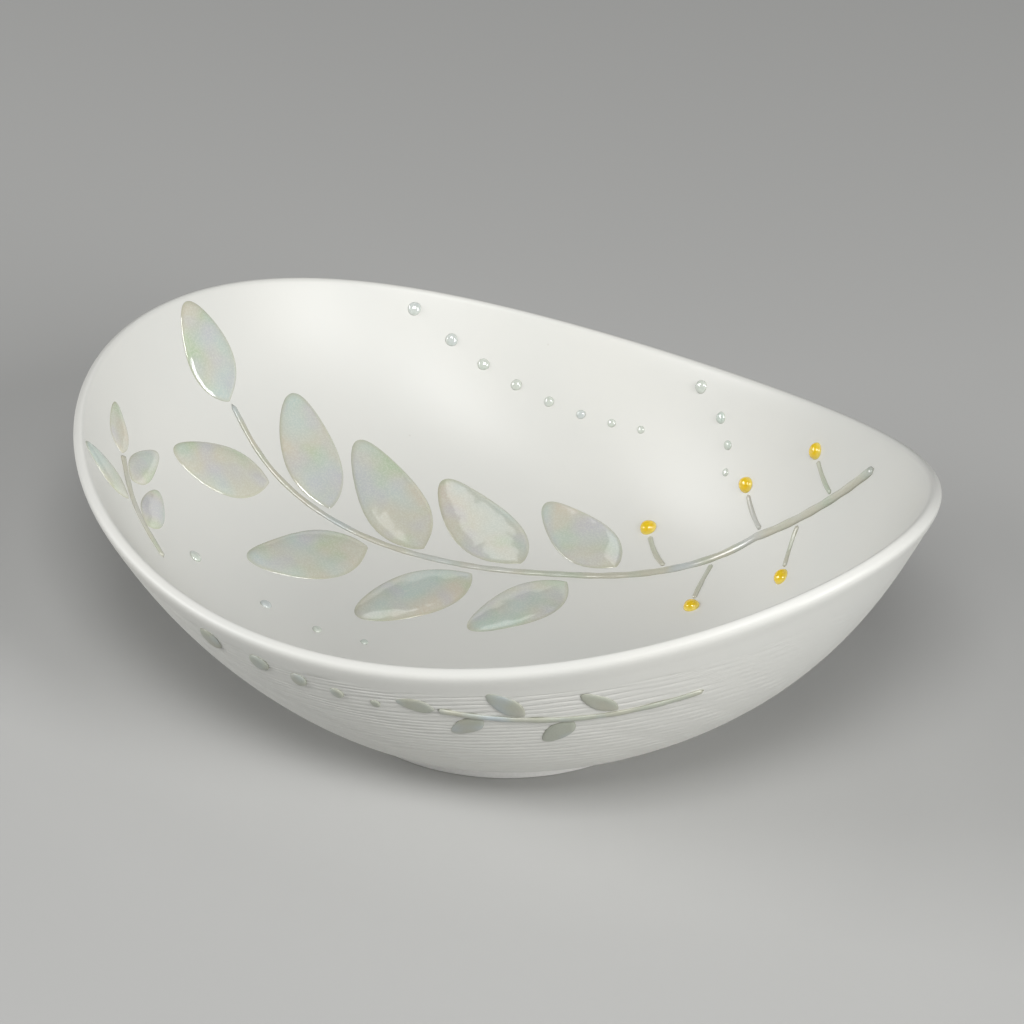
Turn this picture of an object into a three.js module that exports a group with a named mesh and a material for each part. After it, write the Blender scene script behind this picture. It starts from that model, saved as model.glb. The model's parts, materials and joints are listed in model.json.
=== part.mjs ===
// An oval porcelain serving bowl. Its lip is an oval a little narrower toward one end, high at
// the pointed end, or tip, a little lower at the blunt end, or heel, and lowest at both sides.
// It stands on a round foot ring, and sprigs of leaves and berries lie on it in raised enamel.
// Millimetres, +Z up, +X toward the tip, origin on the table under the middle of the foot.

import * as THREE from "three";

// The lip, seen from above and from the side
const bowlLength = 190;
const bowlWidth = 138.5;
const tipNarrowingShare = 0.1;
const tipHeight = 69.4;
const heelHeight = 55.4;
const sideHeight = 43.9;

// The rounded lip: its thickness, how far down the wall its rounding starts on the outside and on
// the inside, and where its crest lies across the wall, as a share from the outside
const lipThickness = 2.2;
const lipShoulder = 4.5;
const lipInnerEdge = 1.3;
const lipCrestShare = 0.65;

// The wall between foot and lip: its slopes, and how far each one pulls as a share of the reach
const footSlope = 0.42;
const footPullShare = 0.71;
const lipSlope = 1.58;
const lipPullShare = 0.1;
const lowWallThickness = 4;

// The floor and the foot
const floorHeight = 8.4;
const baseThickness = 3.3;
const footRadius = 38;
const footRingHeight = 3.7;
const footRingWidth = 5;
const footRingInset = 1.2;
const footRingChamfer = 0.5;

// Where the floor turns into the wall: how far up the outer wall, and how far out on the chart
const joinRiseShare = 0.35;
const joinShare = 0.58;

// Raised enamel: its seat on the glaze, the space between pieces, and how high each kind stands
const enamelGap = 0.3;
const enamelClearance = 0.5;
const leafCrown = 0.9;
const lineCrown = 0.7;
const berryCrown = 1.4;
const beadCrown = 0.7;

// The cross-section of a line of enamel: across it from right to left, and up, as shares
const lineSection = [[0.5, 0], [0.36, 0.72], [0, 1], [-0.36, 0.72], [-0.5, 0]];

// Leaves: how sharp the base is, how full they are at base and end, and how they lean off a line
const leafBaseSharpness = 0.6;
const leafBaseFullness = 1.25;
const leafEndFullness = 0.8;
const leafMiddleShare = 0.45;
const leafLeanDegrees = 50;
const leafLeanEaseShare = 0.25;
const outerLeafShare = 0.74;
const lastLeafShare = 0.95;
const endLeafShare = 0.8;

// The sprig inside: a branch with alternating leaves, and twigs that end in berries
const branchWidth = 2;
const branchEndWidth = 1.2;
const leafCount = 9;
const firstLeafShare = 0.42;
const leafLength = 29;
const leafWidth = 14;
const leafClearance = 1.6;
const twigLength = 9;
const twigWidth = 1.1;
const twigLeanDegrees = 55;
const twigBowShare = 0.25;
const berryCount = 5;
const berryDiameter = 3.6;
const firstBerryShare = 0.1;
const lastBerryShare = 0.36;

// Dew beads inside, the small sprig on the heel's wall, and the sprig and drops outside
const largeBead = 2.9;
const smallBead = 1.7;
const largeDrop = 5.5;
const smallDrop = 2.2;
const beadCrowding = 0.8;
const heelLeafCount = 4;
const heelLeafLength = 15;
const heelLeafWidth = 7;
const heelFirstLeafShare = 0.25;
const smallLeafCount = 5;
const smallLeafLength = 10;
const smallLeafWidth = 5;
const smallFirstLeafShare = 0.3;
const smallTwigWidth = 1.4;

const porcelain = new THREE.MeshStandardMaterial({ color: 0xe9e8e4, roughness: 0.5 });
const bareClay = new THREE.MeshStandardMaterial({ color: 0xe3dfd6, roughness: 0.9 });
const pearlEnamel = new THREE.MeshStandardMaterial({ color: 0xc3ccc0, roughness: 0.15 });
const yellowEnamel = new THREE.MeshStandardMaterial({ color: 0xe0b024, roughness: 0.15 });

const bowl = new THREE.Group();

function addPiece(name, geometry, material) {
  const piece = new THREE.Mesh(geometry, material);
  piece.name = name;
  bowl.add(piece);
}

// The highest point of the lip in the direction of turn, an angle from the tip.
function lipTop(turn) {
  const along = Math.cos(turn);
  const across = (Math.sin(turn) * (1 - tipNarrowingShare * along)) / (1 + tipNarrowingShare ** 2 / 2);
  const endsHeight = (tipHeight + heelHeight) / 2;
  const sideDip = (endsHeight - sideHeight) / 2;
  const tipLift = (tipHeight - heelHeight) / 2;
  const height = sideHeight + sideDip + tipLift * along + sideDip * Math.cos(2 * turn);
  return new THREE.Vector3((bowlLength / 2) * along, (bowlWidth / 2) * across, height);
}

// How far a rounded corner stays short of its point, with the rounding's two lengths as seen
// along one direction.
function cornerCut(first, second) {
  return (first * second) / (first + second);
}

// How far out and how far down from the lip's top the wall would end if its corner were sharp.
function lipCorner() {
  const run = Math.hypot(1, lipSlope);
  const crest = lipThickness * lipCrestShare;
  const inner = lipThickness - crest;
  return {
    out: cornerCut(lipShoulder / run, (crest * lipSlope) / run),
    down: lipThickness / run - cornerCut((lipInnerEdge * lipSlope) / run, inner / run),
  };
}

// A point on the outside of the wall; rise goes from 0 at the foot to 1 at the lip's sharp corner.
function outerWall(turn, rise) {
  const lip = lipTop(turn);
  const foot = new THREE.Vector3(Math.cos(turn), Math.sin(turn), 0).multiplyScalar(footRadius);
  foot.z = footRingHeight;
  const corner = lipCorner();
  const across = new THREE.Vector3(lip.x - foot.x, lip.y - foot.y, 0);
  across.setLength(across.length() + corner.out);
  lip.set(foot.x + across.x, foot.y + across.y, lip.z - corner.down);
  const reach = across.length();
  const fromFoot = foot.clone().addScaledVector(across, footPullShare);
  fromFoot.z += footPullShare * reach * footSlope;
  const fromLip = lip.clone().addScaledVector(across, -lipPullShare);
  fromLip.z -= lipPullShare * reach * lipSlope;
  return new THREE.CubicBezierCurve3(foot, fromFoot, fromLip, lip).getPoint(rise);
}

// The way out of the clay at a point of the outer wall.
function wayOut(turn, rise) {
  const step = 1e-3;
  const around = outerWall(turn + step, rise).sub(outerWall(turn - step, rise));
  const upward = outerWall(turn, rise).sub(outerWall(turn, rise - step));
  return around.cross(upward).normalize();
}

// The rise that lies a length below the lip's sharp corner, found in a few corrections.
function riseBelowLip(turn, length) {
  const corner = outerWall(turn, 1);
  let drop = 0.1;
  for (let round = 0; round < 5; round += 1) {
    drop *= length / corner.distanceTo(outerWall(turn, 1 - drop));
  }
  return 1 - drop;
}

// A point on the inside of the wall, one wall thickness in from the outside.
function innerWall(turn, rise) {
  const wall = THREE.MathUtils.lerp(lowWallThickness, lipThickness, rise ** 2);
  return outerWall(turn, rise).addScaledVector(wayOut(turn, rise), -wall);
}

// The bowl's inside as a chart, a round map: (0, 0) is the middle of the floor and the lip is at
// distance 1. Within joinShare the floor rises by a power that meets the wall at its own slope.
function insidePoint(p, q) {
  const turn = Math.atan2(q, p);
  const out = Math.hypot(p, q);
  if (out >= joinShare) {
    return innerWall(turn, THREE.MathUtils.mapLinear(out, joinShare, 1, joinRiseShare, 1));
  }
  const step = 1e-3;
  const join = innerWall(turn, joinRiseShare);
  const above = innerWall(turn, joinRiseShare + step);
  const radius = Math.hypot(join.x, join.y);
  const slope = (above.z - join.z) / (Math.hypot(above.x, above.y) - radius);
  const power = (slope * radius) / (join.z - floorHeight);
  const share = out / joinShare;
  const height = floorHeight + (join.z - floorHeight) * share ** power;
  return new THREE.Vector3(join.x * share, join.y * share, height);
}

// The outside as a chart: the foot is at the middle and the lip at distance 1.
function outsidePoint(p, q) {
  return outerWall(Math.atan2(q, p), Math.hypot(p, q));
}

const inside = { pointAt: insidePoint, facing: 1 };
const outside = { pointAt: outsidePoint, facing: -1 };

// A point on the rounded lip, from the inside at share 0 over the crest at 0.5 to the outside at 1.
function lipPoint(turn, share) {
  const outerCorner = outerWall(turn, 1);
  const innerCorner = innerWall(turn, 1);
  const crest = outerCorner.clone().lerp(innerCorner, lipCrestShare);
  if (share < 0.5) {
    const start = innerWall(turn, riseBelowLip(turn, lipInnerEdge));
    return new THREE.QuadraticBezierCurve3(start, innerCorner, crest).getPoint(2 * share);
  }
  const end = outerWall(turn, riseBelowLip(turn, lipShoulder));
  return new THREE.QuadraticBezierCurve3(crest, outerCorner, end).getPoint(2 * share - 1);
}

// Joins rings with the same number of points into one closed skin, drawn to a point at each end.
function closedSkin(firstPole, rings, lastPole) {
  const count = rings[0].length;
  const points = [firstPole, ...rings.flat(), lastPole];
  const last = points.length - 1;
  const faces = [];
  for (let i = 0; i < count; i += 1) {
    const next = (i + 1) % count;
    faces.push(0, 1 + i, 1 + next);
    for (let ring = 0; ring < rings.length - 1; ring += 1) {
      const here = 1 + ring * count;
      const beyond = here + count;
      faces.push(here + i, beyond + i, beyond + next);
      faces.push(here + i, beyond + next, here + next);
    }
    faces.push(last, last - count + next, last - count + i);
  }
  const geometry = new THREE.BufferGeometry().setFromPoints(points);
  geometry.setIndex(faces);
  geometry.computeVertexNormals();
  return geometry;
}

// The shares between 0 and 1 that split a length in equal steps, both ends included.
function steps(count) {
  return Array.from({ length: count + 1 }, (_, i) => i / count);
}

// The bowl's body: rings from the middle of the floor, up the inside, over the rounded lip, down
// the outside, along the seat of the foot ring and up into the recess under the floor.
function bodyGeometry() {
  const sides = 96;
  const ringOf = (pointAt) =>
    Array.from({ length: sides }, (_, i) => pointAt((i / sides) * 2 * Math.PI));
  const insideRing = (out) => ringOf((turn) => insidePoint(out * Math.cos(turn), out * Math.sin(turn)));
  const flatRing = (radius, height) =>
    ringOf((turn) => new THREE.Vector3(radius * Math.cos(turn), radius * Math.sin(turn), height));

  const floor = steps(7).slice(1, -1).map((share) => insideRing(share ** 0.6 * joinShare));
  const innerSide = steps(8).slice(0, -1).map((share) =>
    ringOf((turn) =>
      innerWall(turn, THREE.MathUtils.lerp(joinRiseShare, riseBelowLip(turn, lipInnerEdge), share)),
    ),
  );
  const lip = steps(8).map((share) => ringOf((turn) => lipPoint(turn, share)));
  const outerSide = steps(11).slice(1).map((share) =>
    ringOf((turn) => outerWall(turn, riseBelowLip(turn, lipShoulder) * (1 - share))),
  );

  const recessRadius = footRadius - footRingInset - footRingWidth;
  const recessHeight = floorHeight - baseThickness;
  const underside = [
    flatRing(recessRadius, footRingHeight),
    flatRing(recessRadius - (recessHeight - footRingHeight), recessHeight),
  ];

  return closedSkin(
    insidePoint(0, 0),
    [...floor, ...innerSide, ...lip, ...outerSide, ...underside],
    new THREE.Vector3(0, 0, recessHeight),
  );
}

// The foot ring: a turned ring with its lower corners taken off, whose flat top carries the body.
function footRingGeometry() {
  const outer = footRadius - footRingInset;
  const inner = outer - footRingWidth;
  const profile = [
    [inner + footRingChamfer, 0],
    [outer - footRingChamfer, 0],
    [outer, footRingChamfer],
    [outer, footRingHeight],
    [inner, footRingHeight],
    [inner, footRingChamfer],
    [inner + footRingChamfer, 0],
  ].map(([radius, height]) => new THREE.Vector2(radius, height));
  return new THREE.LatheGeometry(profile, 72).rotateX(Math.PI / 2);
}

// How a surface runs along p and q of its chart at a point, and the way it faces there.
function slopesAt(skin, p, q) {
  const step = 1e-4;
  const alongP = skin.pointAt(p + step, q).sub(skin.pointAt(p - step, q)).divideScalar(2 * step);
  const alongQ = skin.pointAt(p, q + step).sub(skin.pointAt(p, q - step)).divideScalar(2 * step);
  const normal = alongP.clone().cross(alongQ).normalize().multiplyScalar(skin.facing);
  return { alongP, alongQ, normal };
}

// A place on a surface, with the directions ahead and to the left of a piece that points at aim.
function placeOn(skin, [p, q], aim) {
  const { normal } = slopesAt(skin, p, q);
  const ahead = aim.clone().addScaledVector(normal, -aim.dot(normal)).normalize();
  return { skin, p, q, normal, ahead, left: normal.clone().cross(ahead), origin: skin.pointAt(p, q) };
}

// The place turned to its left by an angle in degrees, or to its right where that is negative.
function turned(place, degrees) {
  const angle = THREE.MathUtils.degToRad(degrees);
  const ahead = place.ahead.clone().multiplyScalar(Math.cos(angle))
    .addScaledVector(place.left, Math.sin(angle));
  return { ...place, ahead, left: place.normal.clone().cross(ahead) };
}

// The chart point that lies so far ahead and so far left of a place, found in a few corrections.
function chartPoint(place, ahead, left) {
  let { p, q } = place;
  for (let round = 0; round < 6; round += 1) {
    const { alongP, alongQ } = slopesAt(place.skin, p, q);
    const offset = place.skin.pointAt(p, q).sub(place.origin);
    const missAhead = ahead - offset.dot(place.ahead);
    const missLeft = left - offset.dot(place.left);
    const aheadP = alongP.dot(place.ahead);
    const aheadQ = alongQ.dot(place.ahead);
    const leftP = alongP.dot(place.left);
    const leftQ = alongQ.dot(place.left);
    const area = aheadP * leftQ - aheadQ * leftP;
    p += (missAhead * leftQ - missLeft * aheadQ) / area;
    q += (missLeft * aheadP - missAhead * leftP) / area;
  }
  return [p, q];
}

// A point so far ahead and left of a place, standing at a height over its enamel seat.
function overSeat(place, [ahead, left], height) {
  const [p, q] = chartPoint(place, ahead, left);
  const { normal } = slopesAt(place.skin, p, q);
  return place.skin.pointAt(p, q).addScaledVector(normal, enamelGap + height);
}

// A drop of enamel with an outline round the place: domed above, and following the wall below.
function dropGeometry(place, middle, outline, crown) {
  const ringAt = (share, height) =>
    outline.map(([ahead, left]) =>
      overSeat(place, [middle + (ahead - middle) * share, left * share], height),
    );
  const domeAt = (share) => ringAt(share, crown * Math.sqrt(1 - share ** 2));
  return closedSkin(
    overSeat(place, [middle, 0], crown),
    [domeAt(0.5), domeAt(0.85), ringAt(1, 0), ringAt(0.5, 0)],
    overSeat(place, [middle, 0], 0),
  );
}

// A leaf's outline: sharp at its base at start, and rounded at its end a leaf's length on.
function leafOutline(start, length, width) {
  return steps(20).slice(1).map((share) => {
    const side = Math.sin(2 * Math.PI * share);
    const along = (1 - Math.cos(2 * Math.PI * share)) / 2;
    const swell = side * Math.abs(side) ** (leafBaseSharpness * (1 - along));
    const fullness = THREE.MathUtils.lerp(leafBaseFullness, leafEndFullness, along);
    return [start + length * along, -(width / 2) * swell * fullness];
  });
}

function roundOutline(diameter) {
  return steps(12).slice(1).map((share) => {
    const turn = 2 * Math.PI * share;
    return [(diameter / 2) * Math.cos(turn), (diameter / 2) * Math.sin(turn)];
  });
}

function addLeaf(name, place, start, length, width) {
  const crown = leafCrown * Math.sqrt(width / leafWidth);
  const outline = leafOutline(start, length, width);
  addPiece(name, dropGeometry(place, start + length * leafMiddleShare, outline, crown), pearlEnamel);
}

function addBead(name, place, diameter) {
  const crown = beadCrown * (diameter / largeBead);
  addPiece(name, dropGeometry(place, 0, roundOutline(diameter), crown), pearlEnamel);
}

// A line of enamel on a course: flat below, round above, and drawn to a point at both ends.
function lineGeometry(course, stepCount, startWidth, endWidth) {
  const inner = steps(stepCount).slice(1, -1);
  const rings = inner.map((share) => {
    const place = course(share);
    const width = THREE.MathUtils.lerp(startWidth, endWidth, share);
    const crown = lineCrown * (width / branchWidth);
    return lineSection.map(([right, up]) =>
      place.origin.clone()
        .addScaledVector(place.left, -right * width)
        .addScaledVector(place.normal, enamelGap + up * crown),
    );
  });
  const endAt = (share) => overSeat(course(share), [0, 0], 0);
  return closedSkin(endAt(0), rings, endAt(1));
}

// A course over a surface through a few chart points: it gives the place at a share of its length.
function courseThrough(skin, chartPoints) {
  const curve = new THREE.CatmullRomCurve3(chartPoints.map(([p, q]) => new THREE.Vector3(p, q, 0)));
  const step = 0.01;
  return (share) => {
    const here = curve.getPointAt(share);
    const before = curve.getPointAt(Math.max(share - step, 0));
    const after = curve.getPointAt(Math.min(share + step, 1));
    const aim = skin.pointAt(after.x, after.y).sub(skin.pointAt(before.x, before.y));
    return placeOn(skin, [here.x, here.y], aim);
  };
}

// How far from a line's middle a piece that leans off it starts, to stay clear of its edge.
function startOff(lineWidth, clearance, degrees) {
  return (lineWidth / 2 + clearance) / Math.sin(THREE.MathUtils.degToRad(Math.abs(degrees)));
}

// Leaves in turn on the left and right of a line, longest in the middle, and one at its end.
function addLeaves(name, course, lineWidth, count, firstShare, length, width) {
  for (let i = 0; i < count - 1; i += 1) {
    const share = THREE.MathUtils.lerp(firstShare, lastLeafShare, i / (count - 1));
    const lean = (i % 2 ? 1 : -1) * leafLeanDegrees * (1 - leafLeanEaseShare * (i / count));
    const size = THREE.MathUtils.lerp(outerLeafShare, 1, Math.sin((Math.PI * (i + 1)) / count));
    const start = startOff(lineWidth, leafClearance * (width / leafWidth), lean);
    addLeaf(`${name}_${i + 1}`, turned(course(share), lean), start, length * size, width * size);
  }
  addLeaf(`${name}_${count}`, course(1), enamelClearance, length * endLeafShare, width * endLeafShare);
}

// A twig that leaves a line at an angle and bows as it goes, with a berry at its end.
function addBerryTwig(name, place, degrees, length) {
  const start = startOff(branchWidth, enamelClearance, degrees);
  const bow = Math.sign(degrees) * length * twigBowShare;
  const root = turned(place, degrees);
  const course = (share) => {
    const spot = chartPoint(root, start + length * share, bow * share ** 2);
    const aim = root.ahead.clone().multiplyScalar(length).addScaledVector(root.left, 2 * bow * share);
    return placeOn(root.skin, spot, aim);
  };
  addPiece(`${name}_twig`, lineGeometry(course, 8, twigWidth, twigWidth), pearlEnamel);
  const end = course(1);
  const berry = placeOn(end.skin, chartPoint(end, berryDiameter / 2 + enamelClearance, 0), end.ahead);
  addPiece(`${name}_berry`, dropGeometry(berry, 0, roundOutline(berryDiameter), berryCrown), yellowEnamel);
}

// Beads along a course, from large to small.
function addBeads(name, course, count, large, small) {
  steps(count - 1).forEach((share, i) => {
    const diameter = THREE.MathUtils.lerp(large, small, share);
    addBead(`${name}_${i + 1}`, course(share ** beadCrowding), diameter);
  });
}

function addInsideSprig() {
  const branch = courseThrough(inside, [
    [0.6, 0.63], [0.37, 0.55], [0.16, 0.45], [-0.01, 0.32],
    [-0.19, 0.19], [-0.39, 0.1], [-0.55, 0.07], [-0.68, 0.1],
  ]);
  addPiece("branch", lineGeometry(branch, 44, branchWidth, branchEndWidth), pearlEnamel);
  addLeaves("leaf", branch, branchWidth, leafCount, firstLeafShare, leafLength, leafWidth);
  for (let i = 0; i < berryCount; i += 1) {
    const share = THREE.MathUtils.lerp(firstBerryShare, lastBerryShare, i / (berryCount - 1));
    const lean = (i % 2 ? 1 : -1) * twigLeanDegrees;
    addBerryTwig(`berry_${i + 1}`, branch(share), lean, twigLength);
  }
}

function addHeelSprig() {
  const twig = courseThrough(inside, [[-0.5, -0.44], [-0.61, -0.41], [-0.72, -0.33]]);
  addPiece("heel_twig", lineGeometry(twig, 12, smallTwigWidth, smallTwigWidth), pearlEnamel);
  const first = heelFirstLeafShare;
  addLeaves("heel_leaf", twig, smallTwigWidth, heelLeafCount, first, heelLeafLength, heelLeafWidth);
}

function addBeadRows() {
  const farRow = courseThrough(inside, [[-0.6, 0.68], [-0.39, 0.65], [-0.22, 0.66], [-0.05, 0.7]]);
  addBeads("far_bead", farRow, 8, largeBead, smallBead);
  const tipRow = courseThrough(inside, [[0.06, 0.89], [0.12, 0.81], [0.15, 0.74], [0.16, 0.66]]);
  addBeads("tip_bead", tipRow, 4, largeBead, smallBead);
  const lowRow = courseThrough(inside, [[-0.49, -0.3], [-0.4, -0.26], [-0.3, -0.23], [-0.2, -0.18]]);
  addBeads("low_bead", lowRow, 4, largeBead, smallBead);
  const outerRow = courseThrough(outside, [[-0.22, -0.74], [-0.1, -0.76], [0.02, -0.72], [0.1, -0.68]]);
  addBeads("outside_drop", outerRow, 5, largeDrop, smallDrop);
}

function addOutsideSprig() {
  const twig = courseThrough(outside, [[0.51, -0.36], [0.35, -0.5], [0.2, -0.66]]);
  addPiece("outside_twig", lineGeometry(twig, 16, smallTwigWidth, smallTwigWidth), pearlEnamel);
  const first = smallFirstLeafShare;
  addLeaves("outside_leaf", twig, smallTwigWidth, smallLeafCount, first, smallLeafLength, smallLeafWidth);
}

addPiece("bowl_body", bodyGeometry(), porcelain);
addPiece("foot_ring", footRingGeometry(), bareClay);
addInsideSprig();
addHeelSprig();
addBeadRows();
addOutsideSprig();

export default bowl;
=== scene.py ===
# %% [markdown]
# # An oval serving bowl in white porcelain, with raised enamel
#
# The bowl is thrown thin, drawn out to an oval and pulled up at both ends, so that its lip rises
# and falls like a saddle. The outside keeps the fine rings of the turning tool, the inside is
# smooth, and a sprig of leaves and berries lies on it in drops and trailed lines of enamel.
#
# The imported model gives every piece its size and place. This script dresses it, one piece or one
# finish at a time, and says before each why it is made the way it is.

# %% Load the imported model
import json
import math

import bmesh
import bpy
import numpy as np
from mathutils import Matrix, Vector

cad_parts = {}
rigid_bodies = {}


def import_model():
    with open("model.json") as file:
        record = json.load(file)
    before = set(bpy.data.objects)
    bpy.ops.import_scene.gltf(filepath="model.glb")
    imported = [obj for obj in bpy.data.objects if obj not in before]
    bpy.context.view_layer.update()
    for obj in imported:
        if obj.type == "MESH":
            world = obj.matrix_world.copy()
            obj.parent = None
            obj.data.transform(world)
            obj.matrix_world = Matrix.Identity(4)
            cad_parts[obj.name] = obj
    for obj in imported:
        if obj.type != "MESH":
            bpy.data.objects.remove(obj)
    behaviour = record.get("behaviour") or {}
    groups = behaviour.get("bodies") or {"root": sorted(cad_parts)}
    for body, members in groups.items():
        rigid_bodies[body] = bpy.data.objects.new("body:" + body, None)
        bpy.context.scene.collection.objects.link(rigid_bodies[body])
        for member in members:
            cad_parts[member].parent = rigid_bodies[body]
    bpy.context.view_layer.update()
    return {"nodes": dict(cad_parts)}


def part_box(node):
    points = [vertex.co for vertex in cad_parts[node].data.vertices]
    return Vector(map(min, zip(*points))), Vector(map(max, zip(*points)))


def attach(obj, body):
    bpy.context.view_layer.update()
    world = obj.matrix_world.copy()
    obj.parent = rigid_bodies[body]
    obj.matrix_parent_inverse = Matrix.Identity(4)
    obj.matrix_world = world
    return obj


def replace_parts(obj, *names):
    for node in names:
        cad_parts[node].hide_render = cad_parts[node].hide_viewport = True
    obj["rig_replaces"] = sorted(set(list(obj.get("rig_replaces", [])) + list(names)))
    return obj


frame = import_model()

MM = 0.001  # the frame is in metres, and this script works out its shapes in millimetres
print("CAD nodes:", len(frame["nodes"]))

# %% [markdown]
# ## The camera
#
# A long lens from about 1.15 m, which looks down at the bowl by about 33 degrees. Its place was
# found by setting the lip and the foot of the model over the photograph, so it is written as
# angles round the bowl, a distance and a focal length, and not as bare coordinates.

# %% Camera
SENSOR = 36.0  # mm
PICTURE_WIDTH = 1024  # pixels
FOCAL_PIXELS = 5611.59
CAMERA_AZIMUTH = math.radians(34.548)
CAMERA_ELEVATION = math.radians(32.503)
CAMERA_DISTANCE = 1151.75  # mm
CAMERA_TARGET = Vector((0, 0, 26.9))  # mm
CAMERA_RIGHT = 1.148  # mm, sideways from the target
CAMERA_UP = 11.614  # mm


def add_camera():
    level, lift = math.cos(CAMERA_ELEVATION), math.sin(CAMERA_ELEVATION)
    back = Vector((math.sin(CAMERA_AZIMUTH) * level, -math.cos(CAMERA_AZIMUTH) * level, lift))
    right = Vector((math.cos(CAMERA_AZIMUTH), math.sin(CAMERA_AZIMUTH), 0))
    up = back.cross(right)
    place = CAMERA_TARGET + right * CAMERA_RIGHT + up * CAMERA_UP + back * CAMERA_DISTANCE
    camera = bpy.data.objects.new("camera", bpy.data.cameras.new("camera"))
    camera.data.sensor_width = SENSOR
    camera.data.lens = FOCAL_PIXELS / PICTURE_WIDTH * SENSOR
    camera.data.clip_end = 50  # m
    camera.location = place * MM
    camera.rotation_euler = back.to_track_quat("Z", "Y").to_euler()
    bpy.context.scene.collection.objects.link(camera)
    bpy.context.scene.camera = camera
    print("lens, mm:", round(camera.data.lens, 1))


add_camera()

# %% [markdown]
# ## The form of the bowl
#
# One formula gives the whole form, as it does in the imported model: for a turn round the bowl and
# a rise from the foot to the lip it answers with a point. The lip is an oval, a little narrower
# toward the tip, whose height swings up at both ends. Between the round foot and the oval lip the
# wall is a curve with two handles, which leaves the foot at a low slope and ends at the lip at a
# steep one.
#
# The bowl could also be modelled by hand, as a smoothed cage of a few faces. A formula is chosen
# because every drop of enamel has to know where the wall under it is and which way it faces. The
# functions take whole arrays of turns and rises, so all of a fine mesh is shaped at once.

# %% Sizes of the form in millimetres, from the frame where it has them
body_low, body_high = (np.array(corner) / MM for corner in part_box("bowl_body"))
ring_high = np.array(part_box("foot_ring")[1]) / MM
BOWL_LENGTH, BOWL_WIDTH = body_high[:2] - body_low[:2]
TIP_HEIGHT = body_high[2]
TIP_NARROWING = 0.1
HEEL_HEIGHT = 55.4
SIDE_HEIGHT = 43.9
LIP_THICKNESS = 2.9
LIP_SHOULDER = 5  # from the lip's sharp corner down to where its rounding ends outside
LIP_FULLNESS = 2  # 1 would round the lip's outer edge as a parabola, and more keeps it fuller
LIP_INNER_EDGE = 1.1  # the same as the shoulder, inside
LIP_CREST_SHARE = 0.65  # of the thickness, from the outside to the highest line of the lip
FOOT_SLOPE = 0.42  # rise over run of the wall where it leaves the foot
FOOT_PULL = 0.71  # how far the wall's first handle reaches out, as a share of the wall's run
LIP_SLOPE = 1.58  # the same two at the lip
LIP_PULL = 0.1
LOW_WALL_THICKNESS = 4
FLOOR_HEIGHT = 8.4  # of the middle of the floor inside
BASE_THICKNESS = 3.3
FOOT_INSET = 1.2  # of the ring, in from where the wall starts
FOOT_RADIUS = ring_high[0] + FOOT_INSET
FOOT_HEIGHT = ring_high[2]
FOOT_WIDTH = 5  # of the foot ring, from its outside to its inside
JOIN_RISE = 0.35  # of the wall, where the floor inside meets it
JOIN_SHARE = 0.58  # of the way from the middle of the floor to the lip, on the chart
print("bowl, mm:", np.round(body_high - body_low, 2), "foot radius:", round(float(FOOT_RADIUS), 2))

# %% The lip, the wall and its thickness
FIRST_GUESS = 0.1  # of the rise, from which the place of a length below the lip is corrected
CORRECTIONS = 5


def mix(start, end, share):
    return start + (end - start) * share


def unit(vectors):
    return vectors / np.linalg.norm(vectors, axis=-1, keepdims=True)


def dot(one, other):
    return np.sum(one * other, axis=-1)


def stack(x, y, z):
    return np.stack(np.broadcast_arrays(x, y, z), axis=-1).astype(float)


def lip_top(turn):
    """The highest point of the lip at each turn, which is 0 at the tip and pi at the heel."""
    along = np.cos(turn)
    across = np.sin(turn) * (1 - TIP_NARROWING * along) / (1 + TIP_NARROWING**2 / 2)
    side_dip = ((TIP_HEIGHT + HEEL_HEIGHT) / 2 - SIDE_HEIGHT) / 2
    tip_lift = (TIP_HEIGHT - HEEL_HEIGHT) / 2
    height = SIDE_HEIGHT + side_dip + tip_lift * along + side_dip * np.cos(2 * turn)
    return stack(BOWL_LENGTH / 2 * along, BOWL_WIDTH / 2 * across, height)


def corner_cut(first, second, fullness=1):
    """How far a rounded corner stays short of its point, seen along one direction."""
    spare = first - second
    way = (spare + math.sqrt(spare**2 + 4 * fullness**2 * first * second)) / (2 * fullness * second)
    return second * way / (fullness + way)


def lip_corner():
    """How far out and down from the lip's top the wall would end if its corner were sharp."""
    run = math.hypot(1, LIP_SLOPE)
    crest = LIP_THICKNESS * LIP_CREST_SHARE
    inner = LIP_THICKNESS - crest
    out = corner_cut(crest * LIP_SLOPE / run, LIP_SHOULDER / run, LIP_FULLNESS)
    return out, LIP_THICKNESS / run - corner_cut(LIP_INNER_EDGE * LIP_SLOPE / run, inner / run)


def outer_wall(turn, rise):
    """Points on the outside; rise goes from 0 at the foot to 1 at the lip's sharp corner."""
    rise = np.asarray(rise, float)[..., None]
    out, down = lip_corner()
    foot = stack(FOOT_RADIUS * np.cos(turn), FOOT_RADIUS * np.sin(turn), FOOT_HEIGHT)
    across = (lip_top(turn) - foot) * (1, 1, 0)
    across = across + unit(across) * out
    lip = foot * (1, 1, 0) + across + (lip_top(turn) - (0, 0, down)) * (0, 0, 1)
    reach = np.linalg.norm(across, axis=-1)
    from_foot = foot + across * FOOT_PULL
    from_foot[..., 2] += FOOT_PULL * reach * FOOT_SLOPE
    from_lip = lip - across * LIP_PULL
    from_lip[..., 2] -= LIP_PULL * reach * LIP_SLOPE
    low = mix(mix(foot, from_foot, rise), mix(from_foot, from_lip, rise), rise)
    high = mix(mix(from_foot, from_lip, rise), mix(from_lip, lip, rise), rise)
    return mix(low, high, rise)


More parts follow.
